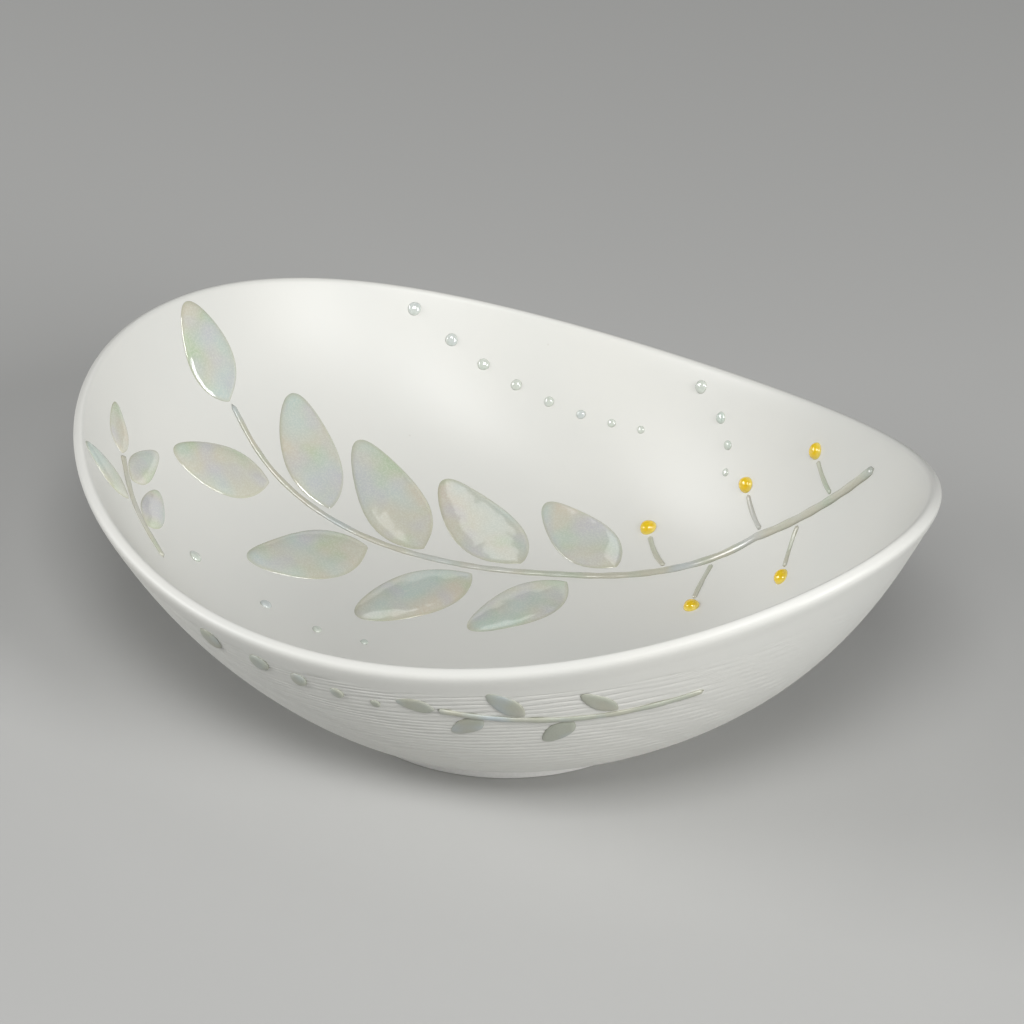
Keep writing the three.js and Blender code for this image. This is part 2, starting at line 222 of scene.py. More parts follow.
def way_out(turn, rise):
    """The way out of the clay at points of the outer wall."""
    step = 1e-3
    around = outer_wall(turn + step, rise) - outer_wall(turn - step, rise)
    upward = outer_wall(turn, rise) - outer_wall(turn, rise - step)
    return unit(np.cross(around, upward))


def inner_wall(turn, rise):
    """Points on the inside, one wall thickness in from the outside."""
    wall = mix(LOW_WALL_THICKNESS, LIP_THICKNESS, np.asarray(rise) ** 2)
    return outer_wall(turn, rise) - way_out(turn, rise) * wall[..., None]


def rise_below_lip(turn, length):
    """The rise that lies a length below the lip's sharp corner, in a few corrections."""
    corner = outer_wall(turn, np.ones_like(turn))
    drop = np.full_like(turn, FIRST_GUESS)
    for _ in range(CORRECTIONS):
        drop = drop * length / np.linalg.norm(corner - outer_wall(turn, 1 - drop), axis=-1)
    return 1 - drop


# %% [markdown]
# The inside is read as a round chart: the middle of the floor is (0, 0) and the lip is at
# distance 1. The chart is what the enamel is laid out on, so a sprig can be drawn flat and still
# lie on the curved wall. Within JOIN_SHARE the floor rises by a power that meets the wall at its
# own slope, so the inside has no crease.

# %% The inside and the outside as charts


def inside_point(p, q):
    turn, out = np.arctan2(q, p), np.hypot(p, q)
    rise = mix(JOIN_RISE, 1, (out - JOIN_SHARE) / (1 - JOIN_SHARE))
    wall = inner_wall(turn, np.maximum(rise, JOIN_RISE))
    step = 1e-3
    join = inner_wall(turn, np.full_like(turn, JOIN_RISE))
    above = inner_wall(turn, np.full_like(turn, JOIN_RISE + step))
    radius = np.hypot(join[..., 0], join[..., 1])
    slope = (above[..., 2] - join[..., 2]) / (np.hypot(above[..., 0], above[..., 1]) - radius)
    power = slope * radius / (join[..., 2] - FLOOR_HEIGHT)
    share = np.minimum(out / JOIN_SHARE, 1)
    height = mix(FLOOR_HEIGHT, join[..., 2], share**power)
    floor = stack(join[..., 0] * share, join[..., 1] * share, height)
    return np.where((out >= JOIN_SHARE)[..., None], wall, floor)


def outside_point(p, q):
    return outer_wall(np.arctan2(q, p), np.hypot(p, q))


INSIDE = {"point_at": inside_point, "facing": 1}
OUTSIDE = {"point_at": outside_point, "facing": -1}

# %% [markdown]
# ## The body
#
# A bowl is a turned form, so its section is drawn once, as a chain of points from the middle of
# the floor up the inside, over the lip, down the outside and under the foot. Each point keeps a
# station number that says where on the section it is. The spin operator turns the section into a
# round bowl, and then each point moves to where the oval form has it at its turn and station.
#
# The turning rings on the outside are shallow, about a third of a millimetre. A bump in the glaze
# could draw them, but they catch the light along the whole wall, so they are real grooves in the
# mesh. They start a little below the lip, are shallower at the tip and fade out above the foot.

# %% Stations along the section
FLOOR, INNER, LIP, OUTER, UNDER, END = range(6)  # the whole numbers at which each stretch starts
STRETCH_POINTS = {FLOOR: 24, INNER: 28, LIP: 32, OUTER: 360, UNDER: 14}
UNDERSIDE_CORNERS = [0, 0.3, 0.5, 1]  # shares of the last stretch
BODY_STEPS = 200
MERGE_DISTANCE = 1e-5  # mm


def section_stations():
    stretches = [np.linspace(0, 1, count, endpoint=False) + start
                 for start, count in STRETCH_POINTS.items()]
    return np.append(np.concatenate(stretches), END)


# %% The turning rings
RING_SPACING = 1.3  # mm of height
RING_DEPTH = 0.23  # mm on a steep wall, and more on a flat one
RING_LEAST_STEEPNESS = 0.5  # below which the depth grows no more
RING_WAVE = 14.6  # mm that the rings swing up and down round the lip, and less lower on the wall
RING_WAVE_TURN = math.radians(-23.8)
RING_WOBBLES = ((0.22, 3, 0.35, 0), (0.12, 11, 0.8, 1.3), (0.1, 37, 1.1, 0))
# Each wobble: its reach in spacings, waves round the bowl, radians a millimetre up, and its start.
RING_EVENNESS = 0.65  # 1 would cut every groove equally deep all round
RING_GROOVE_SHARE = 0.4  # of the spacing, about, so each groove is narrower than the land beside it
RING_TOP_MARGIN = 5.2  # mm of smooth wall below the lip
RING_TIP_MARGIN = 6  # mm more of it at the tip
RING_TIP_SPREAD = 1.5  # the higher, the closer to the tip that margin keeps
RING_TOP_FADE = 0.7  # mm in which they reach their full depth
RING_TIP_DEPTH = 0.45  # of their depth that is left at the tip
RING_LOW_RISE, RING_FULL_RISE = 0.07, 0.13  # between which they grow, above the foot


def ring_relief(turn, rise, point, way):
    """The turning tool's grooves as a height over the wall in millimetres, so 0 or less."""
    height = point[..., 2] - RING_WAVE * rise * np.cos(2 * (turn - RING_WAVE_TURN))
    wobble = sum(reach * np.sin(waves * turn + climb * height + start)
                 for reach, waves, climb, start in RING_WOBBLES)
    across = np.abs(np.sin(np.pi * (height / RING_SPACING + wobble)))
    groove = -np.exp(-(across / RING_GROOVE_SHARE) ** 2)
    patches = np.sin(5 * turn + 1.6 * height) * np.sin(13 * turn - 0.9 * height)
    strength = RING_EVENNESS + (1 - RING_EVENNESS) * patches
    toward_tip = np.cos(turn)
    margin = RING_TOP_MARGIN + RING_TIP_MARGIN * np.maximum(toward_tip, 0) ** RING_TIP_SPREAD
    below_lip = lip_top(turn)[..., 2] - point[..., 2]
    fade_top = np.clip((below_lip - margin) / RING_TOP_FADE, 0, 1)
    fade_tip = np.clip(1 + RING_TIP_DEPTH - toward_tip, 0, 1)
    fade_low = np.clip((rise - RING_LOW_RISE) / (RING_FULL_RISE - RING_LOW_RISE), 0, 1)
    steepness = np.maximum(np.hypot(way[..., 0], way[..., 1]), RING_LEAST_STEEPNESS)
    return RING_DEPTH / steepness * groove * strength * fade_top * fade_tip * fade_low


# %% From turn and station to the real form


def outside_skin(turn, share):
    rise = (1 - share) * rise_below_lip(turn, LIP_SHOULDER)
    point = outer_wall(turn, rise)
    way = way_out(turn, rise)
    return point + way * ring_relief(turn, rise, point, way)[..., None]


def inside_skin(turn, share):
    return inner_wall(turn, mix(JOIN_RISE, rise_below_lip(turn, LIP_INNER_EDGE), share))


def lip_skin(turn, share):
    """The rounded lip, from the inside at 0 over the crest at 0.5 to the outside at 1.

    Each half is a curve that its sharp corner pulls at, and harder on the outside.
    """
    top = np.ones_like(turn)
    outer_corner, inner_corner = outer_wall(turn, top), inner_wall(turn, top)
    crest = mix(outer_corner, inner_corner, LIP_CREST_SHARE)
    inner_half = (share < 0.5)[..., None]
    start = np.where(inner_half, inner_wall(turn, rise_below_lip(turn, LIP_INNER_EDGE)), crest)
    corner = np.where(inner_half, inner_corner, outer_corner)
    end = np.where(inner_half, crest, outer_wall(turn, rise_below_lip(turn, LIP_SHOULDER)))
    part = ((2 * share) % 1)[..., None]
    pull = 2 * part * (1 - part) * np.where(inner_half, 1, LIP_FULLNESS)
    near_start, near_end = (1 - part) ** 2, part**2
    return (start * near_start + corner * pull + end * near_end) / (near_start + pull + near_end)


def underside_skin(turn, share):
    """Flat over the foot ring, then up a small step into the recess and in to the middle."""
    ring_inside = FOOT_RADIUS - FOOT_INSET - FOOT_WIDTH
    recess = FLOOR_HEIGHT - BASE_THICKNESS
    step_inside = ring_inside - (recess - FOOT_HEIGHT)
    radius = np.interp(share, UNDERSIDE_CORNERS, [FOOT_RADIUS, ring_inside, step_inside, 0])
    height = np.interp(share, UNDERSIDE_CORNERS, [FOOT_HEIGHT, FOOT_HEIGHT, recess, recess])
    return stack(radius * np.cos(turn), radius * np.sin(turn), height)


def body_skin(turn, station):
    """The point of the body at each turn and station."""
    part = np.clip(np.floor(station), FLOOR, UNDER)
    share = station - part
    floor = inside_point(share * JOIN_SHARE * np.cos(turn), share * JOIN_SHARE * np.sin(turn))
    stretches = [floor, inside_skin(turn, share), lip_skin(turn, share), outside_skin(turn, share),
                 underside_skin(turn, share)]
    return np.choose(part.astype(int)[..., None], stretches)


# %% Spin the section and move it to the real form


def link_mesh(name, bm, material):
    """Writes a bmesh to a new object that stands at the origin and rides on the bowl."""
    mesh = bpy.data.meshes.new(name)
    bm.to_mesh(mesh)
    bm.free()
    mesh.shade_smooth()
    mesh.materials.append(material)
    piece = bpy.data.objects.new(name, mesh)
    bpy.context.scene.collection.objects.link(piece)
    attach(piece, "root")
    return piece


def add_body(material):
    stations = section_stations()
    section = body_skin(np.zeros_like(stations), stations)
    bm = bmesh.new()
    station_layer = bm.verts.layers.float.new("station")
    chain = [bm.verts.new(point) for point in section]
    for vert, station in zip(chain, stations):
        vert[station_layer] = station
    edges = [bm.edges.new(pair) for pair in zip(chain, chain[1:])]
    bmesh.ops.spin(bm, geom=chain + edges, cent=(0, 0, 0), axis=(0, 0, 1), dvec=(0, 0, 0),
                   angle=2 * math.pi, steps=BODY_STEPS, use_merge=True, use_duplicate=False)
    bmesh.ops.remove_doubles(bm, verts=bm.verts, dist=MERGE_DISTANCE)
    places = np.array([vert.co for vert in bm.verts], float)
    turn = np.arctan2(places[:, 1], places[:, 0])
    station = np.array([vert[station_layer] for vert in bm.verts])
    for vert, point in zip(bm.verts, body_skin(turn, station) * MM):
        vert.co = point
    bmesh.ops.recalc_face_normals(bm, faces=bm.faces)
    body = link_mesh("bowl_shell", bm, material)
    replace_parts(body, "bowl_body")
    print("body:", len(body.data.vertices), "points")
    return body


# %% [markdown]
# ## The foot
#
# The bowl stands on a low turned ring that was wiped clean of glaze. It is the plainest kind of
# turned piece: a rectangle, spun, with its two lower edges softened by the bevel operator. A
# torus would be quicker, but it would stand on a line and not on a flat seat.

# %% Foot ring
FOOT_EDGE = 0.5  # mm
FOOT_EDGE_STEPS = 4
SHARP = 1  # radian between two faces, above which their edge is one to soften


def add_foot(material):
    outer, inner = ring_high[0], ring_high[0] - FOOT_WIDTH
    bm = bmesh.new()
    corners = [(inner, 0), (outer, 0), (outer, FOOT_HEIGHT), (inner, FOOT_HEIGHT)]
    chain = [bm.verts.new((radius, 0, height)) for radius, height in corners]
    edges = [bm.edges.new(pair) for pair in zip(chain, chain[1:] + chain[:1])]
    bmesh.ops.spin(bm, geom=chain + edges, cent=(0, 0, 0), axis=(0, 0, 1), dvec=(0, 0, 0),
                   angle=2 * math.pi, steps=BODY_STEPS, use_merge=True, use_duplicate=False)
    bmesh.ops.recalc_face_normals(bm, faces=bm.faces)
    low_edges = [edge for edge in bm.edges if all(vert.co.z == 0 for vert in edge.verts)
                 and edge.calc_face_angle(0) > SHARP]
    bmesh.ops.bevel(bm, geom=low_edges, offset=FOOT_EDGE, segments=FOOT_EDGE_STEPS,
                    affect="EDGES", profile=0.5, material=-1)
    bmesh.ops.scale(bm, vec=(MM, MM, MM), verts=bm.verts)
    foot = link_mesh("foot", bm, material)
    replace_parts(foot, "foot_ring")
    print("foot ring:", len(foot.data.vertices), "points")
    return foot


# %% [markdown]
# ## Laying enamel on the wall
#
# Each piece of enamel was trailed on the glaze and melted: flat below, domed above and rounded at
# its edge. A flat shape could be pressed onto the wall by a Shrinkwrap modifier, but it would
# stretch where the wall curves two ways. Here each point is laid out by real lengths instead.
#
# To set a piece down, the script needs a place on the wall with three directions: ahead, left and
# out. A point so many millimetres ahead and left of that place is then found on the chart, by
# following the chart's slopes in a few corrections, and lifted off the wall by the enamel's
# height there. So every drop follows the curve of the wall under it.

# %% Places on the wall
CHART_CORRECTIONS = 4


def slopes_at(skin, p, q):
    """How a surface runs along p and q of its chart, and the way it faces."""
    step = 1e-4
    along_p = (skin["point_at"](p + step, q) - skin["point_at"](p - step, q)) / (2 * step)
    along_q = (skin["point_at"](p, q + step) - skin["point_at"](p, q - step)) / (2 * step)
    return along_p, along_q, unit(np.cross(along_p, along_q)) * skin["facing"]


def place_on(skin, spot, aim):
    """Places at chart spots, each with the directions ahead, left and out of the wall."""
    p, q = spot[..., 0], spot[..., 1]
    normal = slopes_at(skin, p, q)[2]
    ahead = unit(aim - normal * dot(aim, normal)[..., None])
    return {"skin": skin, "spot": spot, "origin": skin["point_at"](p, q),
            "normal": normal, "ahead": ahead, "left": np.cross(normal, ahead)}


def turned(place, degrees):
    """The place turned to its left, or to its right where the angle is negative."""
    angle = math.radians(degrees)
    ahead = place["ahead"] * math.cos(angle) + place["left"] * math.sin(angle)
    return {**place, "ahead": ahead, "left": np.cross(place["normal"], ahead)}


def chart_spot(place, ahead, left):
    """The chart spots that lie so far ahead and left of a place, in a few corrections."""
    skin = place["skin"]
    p = place["spot"][..., 0] + np.zeros_like(ahead)
    q = place["spot"][..., 1] + np.zeros_like(ahead)
    for _ in range(CHART_CORRECTIONS):
        along_p, along_q = slopes_at(skin, p, q)[:2]
        offset = skin["point_at"](p, q) - place["origin"]
        miss_ahead = ahead - dot(offset, place["ahead"])
        miss_left = left - dot(offset, place["left"])
        ahead_p, ahead_q = dot(along_p, place["ahead"]), dot(along_q, place["ahead"])
        left_p, left_q = dot(along_p, place["left"]), dot(along_q, place["left"])
        area = ahead_p * left_q - ahead_q * left_p
        p = p + (miss_ahead * left_q - miss_left * ahead_q) / area
        q = q + (miss_left * ahead_p - miss_ahead * left_p) / area
    return np.stack([p, q], axis=-1)


def over_wall(place, ahead, left, height):
    """Points so far ahead and left of a place, standing at a height over the wall."""
    spot = chart_spot(place, ahead, left)
    p, q = spot[..., 0], spot[..., 1]
    return place["skin"]["point_at"](p, q) + slopes_at(place["skin"], p, q)[2] * height[..., None]


# %% [markdown]
# A drop starts as a sphere from the create_uvsphere operator. Seen from above, the sphere's rings
# become rings of the drop's outline, its upper half the dome and its lower half the seat, which
# is sunk a hair into the glaze so that no light passes under it. Molten enamel levels itself, so
# the dome is nearly flat on top and falls off at its edge, and the thin enamel outside is flatter
# still. Each point also keeps its depth, 0 at the drop's edge and 1 at its crown, for the
# enamel's colour. A little sway and tilt, drawn at random, keep two drops from being alike.

# %% One drop of enamel
SINK = 0.12  # mm that a drop's seat lies under the glaze
CROWN_POWER = 3  # the higher, the flatter the top of the dome
OUTSIDE_CROWN_POWER = 6
OUTSIDE_CROWN_SHARE = 0.6  # of the same drop's height inside
EDGE_POWER = 0.7  # 0.5 would be steep at the edge like an ellipse, and 1 a soft slope
DROP_SWAY = (0.03, 0.02)  # of its outline, in two waves round it and in three
DROP_TILT = 0.1  # of its height
LEAF_BASE_SHARPNESS = 0.6  # 0 would make a leaf's base as round as its end
LEAF_FULLNESS = (1.25, 0.8)  # at its base and at its end
rng = np.random.default_rng(7)


def any_turn():
    """An angle at random, from a little more than a full turn."""
    return rng.uniform(0, 7)


def finish_enamel(name, bm, points, depth, node, material):
    """Moves a bmesh to its points, notes each point's depth and sets the piece in place of its solid."""
    layer = bm.verts.layers.float.new("depth")
    for vert, point, value in zip(bm.verts, points * MM, depth):
        vert.co = point
        vert[layer] = value
    bmesh.ops.recalc_face_normals(bm, faces=bm.faces)
    piece = link_mesh(name, bm, material)
    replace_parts(piece, node)
    return piece


def add_drop(node, place, middle, outline, crown, material, rounds):
    """A drop whose crown lies so far ahead, with its outline as a function of the angle round it."""
    bm = bmesh.new()
    bmesh.ops.create_uvsphere(bm, u_segments=rounds, v_segments=rounds // 2, radius=1)
    sphere = np.array([vert.co for vert in bm.verts], float)
    share = np.minimum(np.hypot(sphere[:, 0], sphere[:, 1]), 1)
    angle = np.arctan2(sphere[:, 1], sphere[:, 0])
    sway = 1 + sum(reach * np.sin(waves * angle + any_turn())
                   for waves, reach in enumerate(DROP_SWAY, start=2))
    ahead, left = outline(angle)
    outside = place["skin"] is OUTSIDE
    dome = (1 - share ** (OUTSIDE_CROWN_POWER if outside else CROWN_POWER)) ** EDGE_POWER
    crown = crown * OUTSIDE_CROWN_SHARE if outside else crown
    tilt = 1 + DROP_TILT * share * np.cos(angle + any_turn())
    height = np.where(sphere[:, 2] > 0, crown * dome * tilt, -SINK * dome)
    points = over_wall(place, middle + (ahead - middle) * share * sway, left * share * sway, height)
    return finish_enamel(node + "_drop", bm, points, dome * (sphere[:, 2] > 0), node, material)


def leaf_outline(start, length, width):
    """A leaf that begins so far ahead, narrow at its base and round at its end."""
    def outline(angle):
        along = (1 - np.cos(angle)) / 2
        swell = np.sin(angle) * np.abs(np.sin(angle)) ** (LEAF_BASE_SHARPNESS * (1 - along))
        return start + length * along, -(width / 2) * swell * mix(*LEAF_FULLNESS, along)
    return outline


def round_outline(diameter):
    """A circle round the place itself."""
    return lambda angle: (diameter / 2 * np.cos(angle), diameter / 2 * np.sin(angle))


# %% [markdown]
# A stem is a thread of enamel, trailed from a fine nozzle. It could be a curve object with a
# round section, but its ends would be cut off square and it would know nothing of the wall. Here
# it starts as a sphere too, stretched this time: the way from pole to pole becomes the way along
# the stem, so both ends close by themselves, and a short formula rounds them. The course of a
# stem is a smooth curve through a few points of the chart, measured out evenly there.

# %% One thread of enamel
STEM_SIDES = 16
STEM_CROWN_SHARE = 0.38  # height over width
STEM_ROUNDNESS = 0.6  # 1 would be half round, and less is flatter on top
STEM_LUMP = 0.06  # of its width and height, where it swells and thins
STEM_LUMP_WAVE = 0.9  # radians to a millimetre
AIM_STEP = 0.01  # of a stem's length, each way from a point, to take its direction there
CURVE_STEPS = 60  # between two chart points
COURSE_SAMPLES = 100  # along a stem, to measure its length


def add_thread(node, course, widths, length_steps, material):
    """A thread along a course; widths are those at its start and at its end."""
    bm = bmesh.new()
    bmesh.ops.create_uvsphere(bm, u_segments=STEM_SIDES, v_segments=length_steps, radius=1)
    sphere = np.array([vert.co for vert in bm.verts], float)
    share = 1 - np.arccos(np.clip(sphere[:, 2], -1, 1)) / np.pi
    around = np.arctan2(sphere[:, 1], sphere[:, 0])
    width = mix(*widths, share)
    samples = course(np.linspace(0, 1, COURSE_SAMPLES))["origin"]
    total = np.linalg.norm(np.diff(samples, axis=0), axis=1).sum()
    from_end = np.minimum(share, 1 - share) * total
    rounding = np.sqrt(1 - np.clip(1 - from_end / (width / 2), 0, 1) ** 2)
    lump = 1 + STEM_LUMP * np.sin(share * total * STEM_LUMP_WAVE + any_turn())
    side = np.cos(around) * width / 2 * rounding * lump
    dome = np.maximum(np.sin(around), 0) ** STEM_ROUNDNESS
    up = np.where(dome > 0, dome * width * STEM_CROWN_SHARE * lump, -SINK) * rounding
    points = over_wall(course(share), np.zeros_like(side), side, up)
    return finish_enamel(node + "_thread", bm, points, dome, node, material)


def smooth_course(skin, chart_points):
    """Places at shares of the length of a smooth curve through chart points."""
    knots = np.array(chart_points, float)
    before, after = 2 * knots[0] - knots[1], 2 * knots[-1] - knots[-2]
    padded = np.vstack([before, knots, after])
    fine = []
    for a, b, c, d in zip(padded, padded[1:], padded[2:], padded[3:]):
        fine.append(centripetal(a, b, c, d, np.linspace(0, 1, CURVE_STEPS, endpoint=False)))
    line = np.vstack([*fine, knots[-1]])
    run = np.append(0, np.cumsum(np.linalg.norm(np.diff(line, axis=0), axis=1)))

    def spot_at(share):
        distance = np.clip(share, 0, 1) * run[-1]
        return np.stack([np.interp(distance, run, line[:, axis]) for axis in (0, 1)], axis=-1)

    def course(share):
        share = np.asarray(share, float)
        spots = spot_at(share - AIM_STEP), spot_at(share + AIM_STEP)
        behind, ahead = (skin["point_at"](spot[..., 0], spot[..., 1]) for spot in spots)
        return place_on(skin, spot_at(share), ahead - behind)

    return course


def centripetal(a, b, c, d, share):
    """A stretch of a smooth curve from b to c, which makes no loop where its points lie close."""
    gaps = [np.linalg.norm(end - start) ** 0.5 for start, end in ((a, b), (b, c), (c, d))]
    ends = []
    for start, middle, end, first, second in ((a, b, c, gaps[0], gaps[1]), (b, c, d, gaps[1], gaps[2])):
        slope = (middle - start) / first - (end - start) / (first + second) + (end - middle) / second
        ends.append(slope * gaps[1])
    t = share[:, None]
    return ((2 * t**3 - 3 * t**2 + 1) * b + (t**3 - 2 * t**2 + t) * ends[0]
            + (3 * t**2 - 2 * t**3) * c + (t**3 - t**2) * ends[1])


# %% [markdown]
# ## Colours and nodes
#
# Colours are written as they look on a screen, in hex, and one function turns them to the linear
# values that the shader works in. One more function adds a node, sets it and links it, so that
# each finish below reads as a short list.

# %% Helpers for materials


def linear(hex_colour):
    """An sRGB colour such as "E9E8E4" as linear red, green, blue and alpha."""
    channels = [int(hex_colour[i:i + 2], 16) / 255 for i in (0, 2, 4)]
    return (*[c / 12.92 if c <= 0.04045 else ((c + 0.055) / 1.055) ** 2.4 for c in channels], 1)


def add_node(tree, kind, settings=(), links=()):
    """Adds a node, sets its properties or inputs by name or number, and links its inputs."""
    node = tree.nodes.new(kind)
    for name, value in dict(settings).items():
        if isinstance(name, int) or name in node.inputs:
            node.inputs[name].default_value = value
        else:
            setattr(node, name, value)
    for name, source in dict(links).items():
        tree.links.new(source, node.inputs[name])
    return node


def start_material(name):
    """A node material with its shader, and the piece's own coordinates in metres."""
    material = bpy.data.materials.new(name)
    material.use_nodes = True
    tree = material.node_tree
    shader = tree.nodes["Principled BSDF"]
    coordinates = add_node(tree, "ShaderNodeTexCoord").outputs["Object"]
    return material, tree, shader, coordinates


def per_mm(size):
    """The scale at which a texture repeats about once in so many millimetres."""
    return 1 / (size * MM)


MIX_A, MIX_B, MIX_RESULT = 6, 7, 2  # the colour sockets of a Mix node

# %% [markdown]
# ## Satin glazed porcelain
#
# Porcelain under a thin satin glaze: a warm white, very smooth, with a broad soft sheen and no
# sharp reflections. A clear coat over a white body would be nearer to how it is made, but at this
# roughness one layer looks the same. Up close the white isn't even. Thick and thin glaze make it a
# touch warmer and cooler, and here and there the body shows a tiny iron speck.

# %% Glaze
CLOUD_SIZE, SPECK_SPACING, SKIN_SIZE = 38, 16, 1.6  # mm
SKIN_HEIGHT = 0.02  # mm


def satin_porcelain():
    material, tree, shader, coordinates = start_material("satin_glazed_porcelain")
    cloud = add_node(tree, "ShaderNodeTexNoise", {"Scale": per_mm(CLOUD_SIZE), "Detail": 3.0},
                     {"Vector": coordinates})
    tone = add_node(tree, "ShaderNodeMix",
                    {"data_type": "RGBA", MIX_A: linear("D5D6D2"), MIX_B: linear("DDDCD6")},
                    {0: cloud.outputs["Fac"]})
    cells = add_node(tree, "ShaderNodeTexVoronoi", {"Scale": per_mm(SPECK_SPACING)},
                     {"Vector": coordinates})
    speck = add_node(tree, "ShaderNodeMapRange",
                     {"From Min": 0.0, "From Max": 0.02, "To Min": 0.35, "To Max": 0.0},
                     {"Value": cells.outputs["Distance"]})
    colour = add_node(tree, "ShaderNodeMix", {"data_type": "RGBA", MIX_B: linear("A79F90")},
                      {0: speck.outputs["Result"], MIX_A: tone.outputs[MIX_RESULT]})
    tree.links.new(colour.outputs[MIX_RESULT], shader.inputs["Base Color"])
    skin = add_node(tree, "ShaderNodeTexNoise", {"Scale": per_mm(SKIN_SIZE), "Detail": 2.0},
                    {"Vector": coordinates})
    bump = add_node(tree, "ShaderNodeBump", {"Strength": 0.12, "Distance": SKIN_HEIGHT * MM},
                    {"Height": skin.outputs["Fac"]})
    tree.links.new(bump.outputs["Normal"], shader.inputs["Normal"])
    gloss = add_node(tree, "ShaderNodeMapRange", {"To Min": 0.36, "To Max": 0.46},
                     {"Value": cloud.outputs["Fac"]})
    tree.links.new(gloss.outputs["Result"], shader.inputs["Roughness"])
    shader.inputs["IOR"].default_value = 1.5
    return material


# %% [markdown]
# ## Bare porcelain
#
# The foot ring has no glaze: fired porcelain clay, dry and matt, with a fine grain from the
# turning. A plain colour would do from afar, but a grain of half a millimetre in its tone and its
# relief is what tells it from the glaze above it.

# %% Bare clay
CLAY_GRAIN = 0.6  # mm
CLAY_GRAIN_HEIGHT = 0.05  # mm


def bare_porcelain():
    material, tree, shader, coordinates = start_material("bare_porcelain")
    grain = add_node(tree, "ShaderNodeTexNoise", {"Scale": per_mm(CLAY_GRAIN), "Detail": 4.0},
                     {"Vector": coordinates})
    colour = add_node(tree, "ShaderNodeMix",
                      {"data_type": "RGBA", MIX_A: linear("E6E5E1"), MIX_B: linear("F4F3F0")},
                      {0: grain.outputs["Fac"]})
    tree.links.new(colour.outputs[MIX_RESULT], shader.inputs["Base Color"])
    bump = add_node(tree, "ShaderNodeBump", {"Strength": 0.35, "Distance": CLAY_GRAIN_HEIGHT * MM},
                    {"Height": grain.outputs["Fac"]})
    tree.links.new(bump.outputs["Normal"], shader.inputs["Normal"])
    shader.inputs["Roughness"].default_value = 0.85
    return material


# %% [markdown]
# ## Pearl lustre enamel
#
# Glassy enamel under a film of lustre. Where the film grows thicker or thinner, its grey ground
# drifts to sea green, pale blue, sand and lilac. The shader has a thin film of its own, but its
# colours change with the angle of view, and a baked texture can't hold that. So the drift is
# painted: a few wide noises, one for each tint.
#
# One function makes four finishes. Pearl is for the leaves inside, a duller and darker one for
# the trailed lines, a paler and slightly clear one for the dew, and a matt one, darker still, for
# the enamel outside. In all four the thin rim of a drop is painted a shade darker: painted shade,
# for the shadow line where the drop's edge meets the wall.

# %% Pearl enamel
PEARL_TINTS = (("D0C5B3", 12, 9), ("B1C6A6", 9, 0), ("BBCCC9", 11, 3), ("C2C1C8", 8, 6))
TRAIL_TINTS = (("C0B6A7", 12, 9), ("ADB9A6", 9, 0), ("B8BFC2", 11, 3))
CLEAR_TINTS = (("C6D4C9", 7, 2), ("CCD2D4", 9, 5))
MATT_TINTS = (("A9B4BC", 7, 4), ("ABA998", 9, 1))
# Each tint: its colour, the size of its patches in mm, and the seed of its noise.
WAVE_SIZE, GRAIN_SIZE = 5, 0.35  # mm
WAVE_HEIGHT, GRAIN_HEIGHT = 0.5, 0.02  # mm


def drifting_tints(tree, coordinates, ground, tints):
    """The ground's colour with each tint laid over it in soft patches."""
    last = None
    for tint, size, seed in tints:
        noise = add_node(tree, "ShaderNodeTexNoise",
                         {"noise_dimensions": "4D", "Scale": per_mm(size), "Detail": 1.0, "W": float(seed)},
                         {"Vector": coordinates})
        amount = add_node(tree, "ShaderNodeMapRange",
                          {"From Min": 0.48, "From Max": 0.68, "To Min": 0.0, "To Max": 0.75},
                          {"Value": noise.outputs["Fac"]})
        below = {MIX_A: last.outputs[MIX_RESULT]} if last else {}
        last = add_node(tree, "ShaderNodeMix",
                        {"data_type": "RGBA", MIX_A: linear(ground), MIX_B: linear(tint)},
                        {0: amount.outputs["Result"], **below})
    return last.outputs[MIX_RESULT]


def with_rim(tree, colour, rim, thin, thick, amount):
    """A colour that turns to the rim's where a drop's depth falls from thick to thin."""
    depth = add_node(tree, "ShaderNodeAttribute", {"attribute_name": "depth"})
    edge = add_node(tree, "ShaderNodeMapRange",
                    {"From Min": thin, "From Max": thick, "To Min": amount, "To Max": 0.0},
                    {"Value": depth.outputs["Fac"]})
    rimmed = add_node(tree, "ShaderNodeMix", {"data_type": "RGBA", MIX_B: linear(rim)},
                      {0: edge.outputs["Result"], MIX_A: colour})
    return rimmed.outputs[MIX_RESULT]


